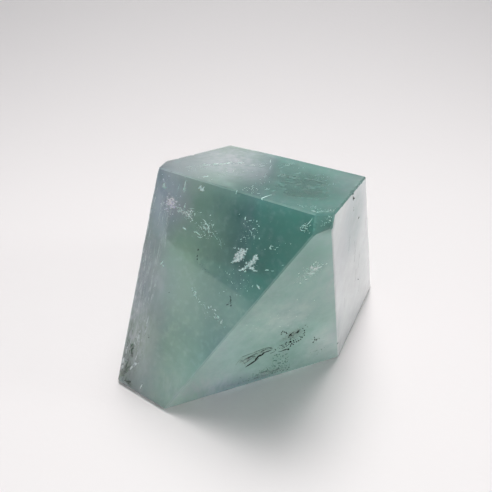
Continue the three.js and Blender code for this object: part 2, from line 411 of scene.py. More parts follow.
def grains(centre, size, rng):
    """Small rough crystals: an icosahedron at each centre with every corner pushed in or out at random."""
    g = (1 + 5**0.5) / 2
    seed = [(-1, g, 0), (1, g, 0), (-1, -g, 0), (1, -g, 0), (0, -1, g), (0, 1, g)]
    seed += [(0, -1, -g), (0, 1, -g), (g, 0, -1), (g, 0, 1), (-g, 0, -1), (-g, 0, 1)]
    ball = np.array(seed) / math.hypot(1, g)
    # Each cap is three corners of the icosahedron, as hexadecimal digits.
    caps = "0b5 051 017 07a 0ab 159 5b4 ba2 a76 718 394 342 326 368 389 495 24b 62a 867 981"
    block = np.array([[int(c, 16) for c in cap] for cap in caps.split()])
    push = rng.uniform(0.55, 1.25, (len(size), 12, 1)) * size[:, None, None]
    return (centre[:, None] + ball * push).reshape(-1, 3), repeat(block, len(size), 12)


def within(flat, points):
    """True for the points that lie well inside every other flat."""
    inside = np.ones(len(points), bool)
    for other in FLATS:
        foot, _, _, out = flat_frame(other)
        inside &= (other == flat) | ((points - foot) @ out < -RIM)
    return inside


def on_stone(flat, points):
    """Points laid past the rim of a flat, drawn back square to the flat that they passed."""
    for other in FLATS:
        if other != flat:
            foot, _, _, out = flat_frame(other)
            points = points - np.clip((points - foot) @ out, 0, None)[..., None] * out
    return points


def turned(flat, turn):
    """Unit vectors that lie in a flat, turned from across towards up."""
    _, u, v, _ = flat_frame(flat)
    a = np.radians(np.asarray(turn, float))[..., None]
    return np.cos(a) * u + np.sin(a) * v


def join(parts):
    """Several (points, faces) as one, with four-cornered faces split into triangles."""
    points, faces, start = [], [], 0
    for p, f in parts:
        if f.shape[1] == 4:
            f = np.concatenate([f[:, :3], f[:, [0, 2, 3]]])
        points.append(p)
        faces.append(f + start)
        start += len(p)
    return np.concatenate(points), np.concatenate(faces)


def spread(flat, rows, rng, depth):
    """Centres, directions, normals and sizes of many small plates scattered over clusters. A row is across,
    up, half spread along and beside, turn, count, least and greatest length, and slimness."""
    centres, ways, tilts, lengths, widths = [], [], [], [], []
    _, u, v, out = flat_frame(flat)
    for across, up, run, breadth, turn, count, least, most, slim in rows:
        run, side = rng.normal(0, 0.5, (2, count)) * np.array([[run], [breadth]])
        centres.append(lay(flat, *swung(across, up, turn, run, side), rng.uniform(*depth, count)))
        lean_across, lean_up = np.radians(rng.normal(0, LEAN, (2, count, 1)))
        tilt = out + lean_across * u + lean_up * v
        tilt /= np.linalg.norm(tilt, axis=1, keepdims=True)
        way = turned(flat, turn + rng.normal(0, 35, count))
        way -= (way * tilt).sum(1, keepdims=True) * tilt
        ways.append(way / np.linalg.norm(way, axis=1, keepdims=True))
        tilts.append(tilt)
        size = least + (most - least) * rng.random(count) ** 2
        lengths.append(size)
        widths.append(size * slim * rng.uniform(0.6, 1.2, count))
    inside = within(flat, np.concatenate(centres))
    return [np.concatenate(kept)[inside] for kept in (centres, ways, tilts, lengths, widths)]


def dust(flat, rows, rng):
    """Tiny parted cleavages scattered over a flat, by spread's rows."""
    return chips(*spread(flat, rows, rng, (-0.02, 0.03)), rng, corners=7)


def films(flat, rows, rng):
    """Thin closed lenses that lie in a flat. A row is across, up, half length, half width, turn. At radius r
    and angle t a lens is centre + r f(t)(length cos t along + width sin t side), with f a sum of a few
    waves; its two skins part by its thickness times (1 - r squared), which is its fade as well."""
    across, up, length, width, turn = np.array(rows, float).T[..., None]
    n, rings, spokes = len(rows), LENS_RINGS, LENS_SPOKES
    centre, along, out = lay(flat, across, up, 0.0), turned(flat, turn), flat_frame(flat)[3]
    t = np.linspace(0, 2 * math.pi, spokes, endpoint=False)
    r = np.linspace(0, 1, rings + 1)[1:]
    f = np.ones((n, spokes))
    for wave in (2, 3, 5):
        f += rng.uniform(0.04, 0.16, (n, 1)) * np.cos(wave * t + rng.uniform(0, FULL_TURN, (n, 1)))
    rng.random((n, 1))  # passed over, which keeps what is scattered after a film in its place
    reach = r[None, :, None] * f[:, None, :]
    x = np.concatenate([np.zeros((n, 1)), (reach * np.cos(t)).reshape(n, -1)], 1) * length
    y = np.concatenate([np.zeros((n, 1)), (reach * np.sin(t)).reshape(n, -1)], 1) * width
    skin = centre + x[..., None] * along + y[..., None] * np.cross(out, along)
    thin = 1 - np.concatenate([[0.0], np.repeat(r, spokes)]) ** 2
    half = LENS_THICK / 2 * thin[:, None] * out
    total = len(thin)
    inner = total - spokes
    points = np.concatenate([skin + half, (skin - half)[:, :inner]], 1)
    s, c = (a.ravel() for a in np.meshgrid(np.arange(rings - 1), np.arange(spokes), indexing="ij"))
    d = (c + 1) % spokes
    near, far = 1 + s * spokes, 1 + (s + 1) * spokes
    c0 = np.arange(spokes)
    top = [np.stack([near + c, far + c, far + d], 1), np.stack([near + c, far + d, near + d], 1)]
    top = np.concatenate([*top, np.stack([c0 * 0, 1 + c0, 1 + (c0 + 1) % spokes], 1)])
    under = np.where(top < inner, top + total, top)[:, ::-1]
    faces = repeat(np.concatenate([top, under]), n, points.shape[1])
    return points.reshape(-1, 3), faces, np.tile(np.concatenate([thin, thin[:inner]]), n)


def curved_strands(flat, rows, depth, rng, thick=0.04):
    """Strips along arcs that lie in a flat. A row is across, up, half length, turn, bow, greatest width: the
    arc runs along turn, bows aside by bow (1 - t squared), and its width falls to its ends likewise."""
    across, up, length, turn, bow, width = np.asarray(rows, float).T[..., None]
    t = np.linspace(-1, 1, STRAND_STEPS)
    side = bow * (1 - t**2) + rng.normal(0, 0.02, (len(rows), STRAND_STEPS)).cumsum(1) * 0.4
    path = on_stone(flat, lay(flat, *swung(across, up, turn, length * t, side), depth))
    return strands(path, width * np.clip(1 - t**2, 0.12, 1), flat_frame(flat)[3], thick)


def strand_fade(count):
    """Full in the middle of each of count strands and nothing at its ends: 1 - t squared, at four corners."""
    return np.tile(np.repeat(1 - np.linspace(-1, 1, STRAND_STEPS) ** 2, 4), count)


def wisp_field(rng, count, across, up, length, turn, width):
    """Rows of curved_strands for wisps scattered over a field; turn is their mean turn and its scatter."""
    rows = [rng.uniform(*across, count), rng.uniform(*up, count), rng.uniform(*length, count)]
    rows += [rng.normal(*turn, count), rng.normal(0, 0.08, count), rng.uniform(*width, count)]
    return np.stack(rows, 1)


def sprinkled(flat, rows, rng):
    """Grains scattered over strips of a flat. A row is across, up, half spread along, half spread beside,
    turn, count, least and greatest size; along the strip they fall one to each even stretch."""
    parts = []
    for across, up, run, breadth, turn, count, least, most in rows:
        run = ((np.arange(count) + rng.random(count)) / count * 2 - 1) * run
        side = rng.uniform(-1, 1, count) * breadth
        size = SWELL * (least + (most - least) * rng.random(count) ** 1.6)
        parts.append(grains(lay(flat, *swung(across, up, turn, run, side), -size * 0.2), size, rng))
    return parts


# ---------------- the stone
def stone_solid():
    """The cut stone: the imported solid's triangles joined at their shared corners and merged into flats."""
    shape = bmesh.new()
    shape.from_mesh(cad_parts[STONE_NODE].data)
    bmesh.ops.remove_doubles(shape, verts=shape.verts[:], dist=0.002 * MM)
    bmesh.ops.dissolve_limit(
        shape, angle_limit=math.radians(0.4), verts=shape.verts[:], edges=shape.edges[:]
    )
    mesh = bpy.data.meshes.new("polished_stone")
    shape.to_mesh(mesh)
    shape.free()
    mesh.polygons.foreach_set("use_smooth", np.zeros(len(mesh.polygons), bool))
    normals = np.zeros(len(mesh.polygons) * 3)
    mesh.polygons.foreach_get("normal", normals)
    outs = np.array([flat_frame(flat)[3] for flat in FLATS])
    likeness = normals.reshape(-1, 3) @ outs.T
    skin = np.array([(*srgb(tint)[:3], share) for *_, share, tint in FLATS.values()])[likeness.argmax(1)]
    skin[likeness.max(1) < SAME_FLAT] = (*srgb(EDGE_SKIN[1])[:3], EDGE_SKIN[0])
    # The edge skins set here paint highlight lines along the edges, and paint light over the contact shade
    # along the foot.
    for (one, other), (share, tint) in EDGE_SKINS_AND_HIGHLIGHTS.items():
        between = flat_frame(one)[3] + flat_frame(other)[3]
        between /= np.linalg.norm(between)
        skin[normals.reshape(-1, 3) @ between > SAME_FLAT] = (*srgb(tint)[:3], share)
    kept = mesh.attributes.new("skin", "FLOAT_COLOR", "FACE").data
    kept.foreach_set("color", skin.astype(np.float32).ravel())
    mesh.materials.clear()
    mesh.materials.append(polished_fluorite())
    made = show(mesh)
    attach(made, BODY)
    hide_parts(STONE_NODE)


def bright_flakes():
    """Cleavage flakes opened at the front left flat: two bruised patches of ragged plates that overlap,
    crumbs round them, and a few single ones."""
    rng = np.random.default_rng(11)
    # across, up, half length, half width, turn
    plates = [
        (11.3, 22.1, 0.55, 0.42, 60), (11.2, 21.6, 0.6, 0.4, 20), (11.4, 21.2, 0.55, 0.36, 35),
        (10.8, 21, 0.6, 0.34, 30), (11.6, 21.7, 0.4, 0.3, 0), (11.7, 22.5, 0.34, 0.16, 70),
        (10.3, 20.3, 0.45, 0.16, 33), (10.7, 20.6, 0.4, 0.2, 20), (12, 22.6, 0.34, 0.16, 20),
        (11.9, 22.2, 0.3, 0.14, -10), (10.2, 22.5, 0.14, 0.1, 40), (10.8, 22.6, 0.16, 0.1, 10),
        (11.3, 22.7, 0.2, 0.12, 50), (11.7, 22.8, 0.18, 0.12, 0), (12.25, 23.1, 0.16, 0.12, 30),
        (10.6, 21.5, 0.25, 0.16, 60), (13.9, 22.3, 0.64, 0.42, 66), (13.7, 21.7, 0.55, 0.4, 60),
        (13.3, 21.3, 0.3, 0.2, 20), (13.2, 21, 0.5, 0.28, 40), (12.8, 20.5, 0.5, 0.22, 35),
        (12.6, 21, 0.22, 0.14, 60), (12.3, 19.9, 0.4, 0.18, 30), (11.9, 19.6, 0.4, 0.14, 20),
        (13.7, 20.6, 0.4, 0.18, 20), (14.1, 20.4, 0.3, 0.12, 0), (14.6, 20.5, 0.14, 0.1, 0),
        (12.7, 19.7, 0.2, 0.12, 40),
    ]
    singles = [
        (-4.8, 27.5, 0.46, 0.26, 75), (-4.5, 27.3, 0.36, 0.18, 20), (2.1, 29.4, 0.42, 0.18, 50),
        (2.6, 29.15, 0.38, 0.18, -10), (2.3, 29, 0.32, 0.15, 20), (2.75, 29.5, 0.18, 0.1, 60),
        (0.5, 22.2, 0.36, 0.14, -20), (15.4, 18.3, 0.38, 0.15, -30), (-2.8, 15.2, 0.42, 0.09, 62),
        (-2.4, 14.8, 0.24, 0.08, -30), (10.9, 27.4, 0.26, 0.07, 90),
    ]
    flat = "front_left"
    parts = []
    for rows, corners, ragged in ((plates, 23, 0.55), (singles, 9, 0.4)):
        across, up, length, width, turn = np.array(rows).T
        way = turned(flat, turn)
        out = np.broadcast_to(flat_frame(flat)[3], way.shape)
        centre = lay(flat, across, up, rng.uniform(-0.03, 0.0, len(rows)))
        parts.append(chips(centre, way, out, length, width, rng, corners, ragged))
    crumbs = [
        (11.3, 21.9, 1.1, 1.1, 60, 28, 0.04, 0.16, 0.5), (13.5, 21.3, 1, 0.8, 50, 22, 0.04, 0.14, 0.5),
        (12.7, 20.2, 1.2, 0.4, 20, 14, 0.04, 0.14, 0.5),
    ]
    parts.append(chips(*spread(flat, crumbs, rng, (-0.02, 0.02)), rng))
    # Air in a cleavage that a knock has parted: it throws the light back white, with a pearly sheen.
    parted = mottled_mark("parted_cleavage", "#F2FFFC", "#9CC0BC", per_mm=3.5)
    build("cleavage_flakes", parted, *join(parts))


def pearl_dust():
    """Fields of tiny parted cleavages: lavender at the left corner, greenish beside it, and pale ones
    under the table, on the table and on the front right flat."""
    rng = np.random.default_rng(23)
    # across, up, half spread along and beside, turn, count, least and greatest length, slimness
    lavender = [
        (-2.8, 25.2, 1.1, 0.8, 15, 120, 0.06, 0.34, 0.45), (-2.6, 24.6, 1.8, 1.5, 30, 70, 0.04, 0.18, 0.35),
        (-3.6, 24.4, 1.6, 1, 60, 20, 0.04, 0.16, 0.35), (-3, 26.4, 2, 0.7, 0, 14, 0.04, 0.14, 0.5),
        (-4.6, 28.6, 2, 0.8, 0, 10, 0.04, 0.14, 0.5),
    ]
    green = [
        (-0.5, 24.8, 1.5, 0.6, -10, 46, 0.05, 0.28, 0.35), (0.9, 24.6, 1.2, 0.9, -30, 56, 0.05, 0.28, 0.35),
        (1.6, 25.3, 1.2, 0.2, 15, 12, 0.05, 0.24, 0.2), (4.3, 23.6, 1.6, 1.2, 30, 90, 0.04, 0.18, 0.35),
        (3.6, 22.2, 1.6, 0.6, 0, 24, 0.04, 0.16, 0.35), (7, 22.7, 2, 0.7, -30, 20, 0.03, 0.12, 0.4),
        (-0.6, 28.6, 0.4, 1.2, 0, 18, 0.04, 0.18, 0.4), (12, 26.8, 2.4, 1.2, 10, 16, 0.03, 0.12, 0.5),
        (12.4, 25.4, 2, 1.8, 30, 26, 0.03, 0.11, 0.5), (11.4, 24.4, 1, 0.5, 0, 14, 0.03, 0.12, 0.5),
        (16.2, 24.7, 0.6, 0.4, 0, 6, 0.04, 0.12, 0.5), (20.6, 29.4, 0.8, 0.8, 0, 34, 0.03, 0.14, 0.4),
        (22.1, 28.9, 0.5, 0.4, 60, 16, 0.05, 0.2, 0.4), (13.6, 17.6, 1.8, 1, -20, 14, 0.03, 0.1, 0.5),
        (4.6, 12.7, 1.6, 0.4, -40, 22, 0.05, 0.18, 0.4), (6.2, 11.9, 2.2, 0.7, -35, 26, 0.03, 0.12, 0.4),
        (9, 11, 2, 0.5, -35, 18, 0.05, 0.24, 0.35), (10.2, 10.5, 1.2, 0.6, -35, 20, 0.04, 0.18, 0.4),
        (11, 17, 5, 3.5, 20, 30, 0.03, 0.08, 0.6), (17.6, 26, 3, 2, 20, 10, 0.03, 0.08, 0.6),
    ]
    right = [
        (-2, 34.4, 1.6, 1.7, 30, 130, 0.04, 0.2, 0.4), (-1.4, 34.6, 0.8, 0.8, 0, 34, 0.08, 0.3, 0.5),
        (-3.6, 33, 1.2, 1.2, 0, 20, 0.03, 0.12, 0.5), (-6, 24, 6, 5, 0, 30, 0.03, 0.08, 0.6),
    ]
    table = [
        (6, 16.4, 1.4, 0.4, 46, 30, 0.04, 0.16, 0.35), (3, 14.2, 2.2, 0.5, 46, 54, 0.04, 0.22, 0.35),
        (0.6, 12.9, 1.6, 0.5, 46, 22, 0.04, 0.14, 0.35), (-2.4, 12.2, 2.6, 0.5, 46, 20, 0.04, 0.14, 0.3),
        (3.8, 21.1, 0.9, 0.4, 46, 20, 0.04, 0.16, 0.4), (6.5, 18.4, 2.2, 1.6, 46, 26, 0.03, 0.1, 0.4),
        (0.5, 17, 4, 3, 46, 40, 0.03, 0.09, 0.4), (-4.4, 24, 1.4, 3, 10, 40, 0.03, 0.13, 0.4),
        (-5, 19, 0.8, 3.4, 8, 30, 0.03, 0.11, 0.4), (-6.9, 15.7, 1, 0.5, 50, 12, 0.04, 0.14, 0.4),
        (-6.4, 10.7, 1.6, 0.6, 50, 20, 0.04, 0.14, 0.4), (-8.6, 11.6, 2.4, 0.6, 50, 14, 0.03, 0.1, 0.4),
        (-12.6, 14.6, 2.6, 0.8, 50, 22, 0.03, 0.12, 0.4), (-14.8, 16.4, 1.6, 1, 50, 16, 0.03, 0.1, 0.4),
        (-13, 27, 2.2, 0.6, 8, 20, 0.03, 0.1, 0.4), (-16.5, 26.9, 0.8, 0.5, 60, 18, 0.04, 0.16, 0.4),
        (-15.6, 27.6, 0.9, 0.5, 20, 18, 0.04, 0.13, 0.4), (-14.6, 28.2, 0.8, 0.3, 10, 14, 0.04, 0.16, 0.4),
    ]
    brow = [(3.4, 26.6, 0.3, 0.7, 0, 10, 0.05, 0.16, 0.4), (2.6, 26.2, 0.8, 0.6, 0, 14, 0.03, 0.1, 0.5)]
    # Parted cleavages in the lavender zone: bright, with a violet shade where they lie deeper.
    violet = mottled_mark("lavender_cleavage", "#FFFFFF", "#CFCBE2", per_mm=2.5)
    build("lavender_dust", violet, *dust("front_left", lavender, rng))
    # The same in the green zones: softer, and shaded with the green of the stone round them.
    fields = (("front_left", green), ("front_right", right), ("table", table), ("brow", brow))
    parts = [dust(flat, rows, rng) for flat, rows in fields]
    build("pale_dust", mottled_mark("pale_cleavage", "#F2FAF7", "#9FC6BC", per_mm=2.5), *join(parts))


def crack_steps():
    """Curved steps of small healed cracks where they reach the flats, white along their lips."""
    rng = np.random.default_rng(31)
    # across, up, half length, turn, bow, greatest width
    swirl = [
        (4, 24.4, 0.7, -35, 0.2, 0.12), (4.6, 23.9, 0.7, -40, 0.25, 0.15),
        (4.2, 23.5, 0.5, -25, 0.15, 0.17), (4.9, 23.4, 0.4, -45, 0.1, 0.14),
        (3, 22.2, 0.8, -10, 0.18, 0.16), (3.6, 21.9, 0.5, 5, -0.1, 0.1), (3.4, 23.3, 0.5, -30, 0.2, 0.07),
        (5.4, 24.3, 0.4, -60, 0.1, 0.08), (5.9, 23.2, 0.4, -35, 0.1, 0.07),
        (6.6, 22.9, 0.5, -30, -0.1, 0.05), (7.4, 22.6, 0.4, -55, 0, 0.05), (1.2, 25.7, 0.6, 18, 0.05, 0.07),
        (1.5, 25.3, 0.4, 15, 0.03, 0.05), (-0.7, 28.9, 0.8, 88, 0.1, 0.2), (-0.9, 28.2, 0.3, 70, 0, 0.3),
        (-1.9, 28, 0.8, 86, 0.05, 0.06), (8.6, 30.7, 0.45, 80, 0.05, 0.1),
        (11.8, 27.3, 0.35, 18, 0.02, 0.07), (12.9, 27.6, 0.14, 60, 0, 0.16),
        (12.6, 26.3, 0.3, 48, 0.04, 0.13), (12.2, 25.6, 0.5, -45, 0.2, 0.08),
        (12.9, 25.2, 0.4, -70, 0.1, 0.06), (13.9, 25.3, 0.14, 80, 0, 0.13), (10.9, 24.1, 0.2, 18, 0, 0.09),
        (16, 24.8, 0.3, 90, 0.05, 0.08), (16, 24.5, 0.2, 10, 0, 0.12), (17, 25, 0.25, 30, 0.05, 0.06),
        (18.5, 22.9, 0.2, 30, 0, 0.07), (16.2, 21.2, 0.35, 20, 0.05, 0.2), (17.1, 21.5, 0.25, 15, 0, 0.09),
        (20.9, 30.2, 0.8, 62, -0.1, 0.12), (20.3, 29.3, 0.4, 20, 0.2, 0.14),
        (20.2, 28.9, 0.4, 0, -0.15, 0.1),
    ]
    parts = [curved_strands("front_left", swirl, -0.015, rng)]
    table = [
        (3.7, 21.1, 0.5, 45, 0.06, 0.22), (5.3, 16, 0.8, 48, 0.05, 0.14), (4.2, 14.9, 0.7, 50, 0.05, 0.18),
        (3, 14.2, 0.6, 45, 0.05, 0.14), (2.5, 13.8, 0.4, 50, 0.03, 0.2), (0.9, 12.6, 0.5, 45, 0.03, 0.14),
        (-1.2, 13.1, 0.5, 48, 0.04, 0.1), (-2.9, 12.8, 0.6, 48, 0.04, 0.1),
        (7.6, 17.9, 0.7, 46, 0.03, 0.08), (-7.1, 15.9, 0.5, 60, 0.2, 0.1),
        (-6.5, 10.7, 0.6, 55, 0.25, 0.09), (-5.9, 12.4, 0.4, 60, 0.1, 0.07),
        (-4.4, 12.9, 1.2, -85, 0.1, 0.06), (-3.6, 9.9, 1, -80, 0.05, 0.07),
        (-6.3, 22.6, 0.5, 50, 0.1, 0.06), (-7.3, 22.9, 0.4, 50, 0.1, 0.06),
        (-11.9, 13.6, 0.8, 45, 0.1, 0.05), (-9, 13.9, 0.7, 50, 0.1, 0.05),
        (-13.6, 15.5, 0.6, 55, 0.1, 0.05),
    ]
    parts.append(curved_strands("table", table, -0.015, rng))
    # One long hooked step near the front edge of the table, as a curve over t from its tip to its foot.
    t = np.linspace(0, 1, 14)
    across = -6.2 - 1.3 * t**2.2
    up = 27.8 - 3.3 * t + 0.35 * np.sin(math.pi * t)
    path = on_stone("table", lay("table", across, up, -0.02))[None]
    width = 0.2 * np.clip(np.sin(math.pi * (0.08 + 0.86 * t)), 0.1, 1)[None]
    parts.append(strands(path, width, flat_frame("table")[3], 0.06))
    # The lip of a healed crack: a thin white thread, grey-green where the crack has closed again.
    build("crack_steps", mottled_mark("healed_crack_lip", "#E6F4F0", "#9AC2BA", per_mm=2.4), *join(parts))


def fine_wisps():
    """Long fine wisps that stand up the left of the front left flat, with a few broad ones at its foot,
    and hair scratches on the right flat. They fade to their ends."""
    rng = np.random.default_rng(47)
    rows = wisp_field(rng, 80, (-7.4, -3.2), (-5, 26), (0.8, 4.2), (87, 3.5), (0.04, 0.15))
    # The field leans with the left edge of the flat.
    rows[:, 0] += 0.048 * (rows[:, 1] - 10)
    low = [
        (-7.2, -3, 1.6, 84, 0.1, 0.3), (-7.7, -5.5, 1.3, 80, 0.1, 0.4), (-5, -4.9, 1.5, 58, 0.1, 0.5),
        (-5.6, -5.8, 0.9, 62, 0.1, 0.3), (-7.6, -6.6, 1, 84, 0.1, 0.5), (-2.9, -8.2, 1, 76, 0.05, 0.2),
    ]
    rows = np.concatenate([rows, low])
    # Milk in a healed crack seen edge on: a pale thread that the clear stone swallows at both ends.
    veil = fading_mark("milky_wisp", "#E4EAEA", "#B8C6C6", 0.65, 1.2, 0.25, 0.6)
    strips = curved_strands("front_left", rows, -0.01, rng, 0.03)
    build("fine_wisps", veil, *strips, strand_fade(len(rows)))
    hairs = [
        (-4.4, 23.8, 2, 100, 0.1, 0.09), (-3.2, 22, 2.6, 97, 0.2, 0.07), (0.6, 17.8, 2.2, 96, 0.1, 0.09),
        (-0.8, 15.6, 1.8, 99, -0.1, 0.07), (3.9, 10, 2.4, 98, 0.1, 0.07), (-8.6, 27.5, 2, 95, 0.1, 0.07),
        (-7, 14, 1.6, 101, 0, 0.07), (1.8, 25.2, 1.5, 96, 0.1, 0.06),
    ]
    # A scratch left by the lap: its torn sides hold no polish, so it reads as a dull grey hair.
    dull = fading_mark("dull_scratch", "#8E9896", "#66706E", 0.9, 2.0, 0.2, 0.5)
    strips = curved_strands("right", hairs, -0.008, rng, 0.02)
    build("right_flat_scratches", dull, *strips, strand_fade(len(hairs)))


def dark_specks():
    """Grains of pyrite, brown to black: a broken ring and its trail on the front right flat and a few specks
    on the front left one; and a fine grey-green dusting of chlorite under the ring."""
    rng = np.random.default_rng(59)
    # The broken ring, grain by grain: across, up, size.
    ring = [
        (-4.6, 18.8, 0.11), (-4.6, 19.3, 0.09), (-4.45, 19.6, 0.1), (-4.1, 19.2, 0.11), (-3.8, 19, 0.11),
        (-3.6, 18.6, 0.1), (-3.05, 17.2, 0.11), (-2.9, 17.7, 0.14), (-2.8, 17.9, 0.12), (-2.5, 17.4, 0.1),
        (-2.6, 18, 0.1), (-2.4, 18.2, 0.11), (-2.2, 16.8, 0.09), (-1.9, 16.4, 0.07), (-1.75, 17.9, 0.11),
        (-1.6, 18.1, 0.16), (-1.4, 18.3, 0.15), (-1.2, 18.6, 0.07), (-0.7, 18.7, 0.09), (-0.3, 17.9, 0.11),
        (-0.1, 17.2, 0.1), (0, 16.4, 0.11), (-0.3, 16.9, 0.07), (-0.35, 15.9, 0.12), (-0.6, 16.1, 0.11),
        (-0.5, 15.4, 0.11), (-0.9, 16.4, 0.07), (-0.85, 15.1, 0.11), (-1.2, 14.9, 0.11), (-1.5, 15.6, 0.07),
        (-1.9, 15.6, 0.12), (-1.7, 15, 0.11), (-2.4, 15.6, 0.19), (-2.6, 16.4, 0.11), (-2.65, 15.3, 0.1),
        (-2.05, 14.75, 0.12), (-1.7, 14.3, 0.11), (-2.2, 14.4, 0.11), (-2.6, 14.7, 0.09), (-2.2, 14, 0.1),
        (-3.15, 15.7, 0.11), (-3.3, 15.5, 0.09), (-3.2, 15, 0.1), (-4, 15.2, 0.1), (-3.7, 14.8, 0.09),
        (-3.4, 14.3, 0.1), (-3, 14.4, 0.09), (-4.3, 15.3, 0.07), (-3.6, 14.1, 0.07), (-5, 14.3, 0.1),
        (-0.4, 19.5, 0.07), (0.1, 18.8, 0.07), (2.2, 14.7, 0.11), (2.4, 13.9, 0.11), (2.8, 13.8, 0.12),
        (2.3, 13.1, 0.11), (3.3, 13.7, 0.07), (1.9, 14.1, 0.06), (2.9, 13.3, 0.07), (-2.5, 13.2, 0.15),
    ]
    # across, up, half spread along and beside, turn, count, least and greatest size
    right = [
        (-3, 17.6, 1.4, 1, 0, 10, 0.03, 0.06), (-1.2, 16.4, 1.2, 1.4, 0, 8, 0.03, 0.06),
        (-4.2, 14.6, 1.3, 0.9, 20, 12, 0.03, 0.07),
    ]
    dusting = [
        (-3.6, 11.6, 1.6, 1.5, 0, 24, 0.05, 0.11), (-3.4, 9.6, 1.6, 1.8, 10, 28, 0.05, 0.11),
        (-4.6, 7.4, 3, 1.8, 12, 40, 0.05, 0.12), (-6.8, 7, 2.2, 1.6, 12, 22, 0.05, 0.11),
        (-2.6, 6.6, 1.6, 1.2, 12, 22, 0.05, 0.12), (-9.4, 7.2, 2, 1.4, 12, 16, 0.04, 0.1),
        (3.8, 9, 1.4, 1.2, 0, 10, 0.04, 0.09),
    ]
    left = [
        (3.8, 19, 0.06, 0.9, 4, 9, 0.05, 0.1), (11.3, 14.2, 0.1, 0.9, 15, 11, 0.06, 0.12),
        (11, 13.6, 0.4, 0.2, 20, 5, 0.04, 0.08), (5.4, 17.4, 1.4, 0.5, -30, 10, 0.03, 0.06),
        (-3.1, 1.6, 0.1, 0.4, 20, 4, 0.04, 0.07), (-0.4, 10.8, 0.1, 0.1, 0, 3, 0.04, 0.06),
    ]
    edge = [
        (-9.9, 36.7, 0.3, 1.2, 40, 12, 0.04, 0.1), (-8.6, 33.8, 0.1, 0.6, 30, 5, 0.03, 0.07),
        (1.9, 12.6, 0.1, 0.1, 0, 2, 0.05, 0.08), (-4.2, 29.6, 0.1, 0.3, 0, 3, 0.05, 0.09),
    ]
    across, up, size = np.array(ring).T * [[1], [1], [SWELL]]
    parts = [grains(lay("front_right", across, up, -size * 0.3), size, rng)]
    for flat, rows in (("front_right", right), ("front_left", left), ("right", edge)):
        parts += sprinkled(flat, rows, rng)
    # Tarnished pyrite, polished down with the stone: near black, with hardly a glint.
    pyrite = mottled_mark("dull_pyrite", "#1A1714", "#0A0908", per_mm=6, roughness=0.7, index=1.15)
    build("pyrite_specks", pyrite, *join(parts))
    # Chlorite in fine scales: a dull grey-green powder in the skin.
    chlorite = mottled_mark("grey_green_chlorite", "#5C7A6C", "#35503F", per_mm=5, roughness=0.7, index=1.2)
    build("chlorite_dusting", chlorite, *join(sprinkled("front_right", dusting, rng)))


def dark_fracture():
    """An old fracture low on the front right flat: bold black strokes along its lower lip, thin lips round a
    leaf shape, and a brown film between them."""
    rng = np.random.default_rng(67)
    # across, up, half length, turn, bow, greatest width
    lips = [
        (-8.95, 12.15, 1.4, 38, -0.06, 0.46), (-9.5, 11.7, 0.8, 38, 0, 0.38),
        (-8.2, 13.2, 0.6, 62, 0.06, 0.44), (-7.7, 13.75, 0.6, 12, 0.06, 0.6),
        (-7.2, 14.15, 0.4, 60, 0, 0.4), (-6.5, 14.5, 0.9, 5, -0.08, 0.3), (-7.1, 15.1, 0.6, 20, 0.1, 0.2),
        (-10.2, 15.1, 1.1, 10, 0.1, 0.12), (-8.2, 15.5, 1, 12, 0.08, 0.14),
        (-6.5, 15.5, 0.8, -18, 0.1, 0.16), (-5.9, 15, 0.4, -40, 0.05, 0.12),
        (-10.9, 13.1, 1.7, -62, 0.3, 0.05), (-11.6, 13.5, 0.9, 66, 0.2, 0.04),
        (-10.2, 13.9, 1.2, 20, 0.1, 0.09), (-9.4, 14.5, 1.2, 24, -0.08, 0.08),
        (-9.8, 13.1, 0.9, 45, 0.05, 0.07), (-8.9, 14, 0.5, -30, 0.1, 0.08),
        (-3.6, 13.25, 0.8, -3, -0.06, 0.14), (-3.1, 13.25, 0.6, 4, 0.03, 0.34),
        (-5.4, 13.6, 0.5, 16, 0, 0.1), (2.6, 13.4, 0.6, 40, 0.05, 0.12), (-6.2, 7.6, 0.8, 20, 0.1, 0.08),
        (-3.9, 7, 0.8, 12, 0.1, 0.08), (-7.6, 6.2, 0.6, 20, 0.1, 0.08),
    ]
    parts = [curved_strands("front_right", lips, -0.02, rng, 0.06)]
    # Soot-black mineral dirt packed in the open lips: it has no shine at all.
    black = mottled_mark("blackened_crack", "#161310", "#070606", per_mm=4, roughness=0.8, index=1.15)
    build("dark_fracture_lips", black, *join(parts))
    # across, up, half length, half width, turn
    leaves = [
        (-9.9, 13.7, 2.1, 1.3, 28), (-8.6, 14.6, 2.2, 0.9, 30), (-6.9, 15.1, 1.5, 0.6, 6),
        (-2.2, 17.6, 2.4, 1.6, 10), (-5.2, 6.9, 3.2, 0.9, 14),
    ]
    # Iron and clay drawn into the closed part of the crack: a thin brown cloud.
    stain = fading_mark("brown_crack_stain", "#7C6A60", "#4A403A", 0.5, 1.8, 0.4, 0.66)
    build("dark_fracture_film", stain, *films("front_right", leaves, rng))


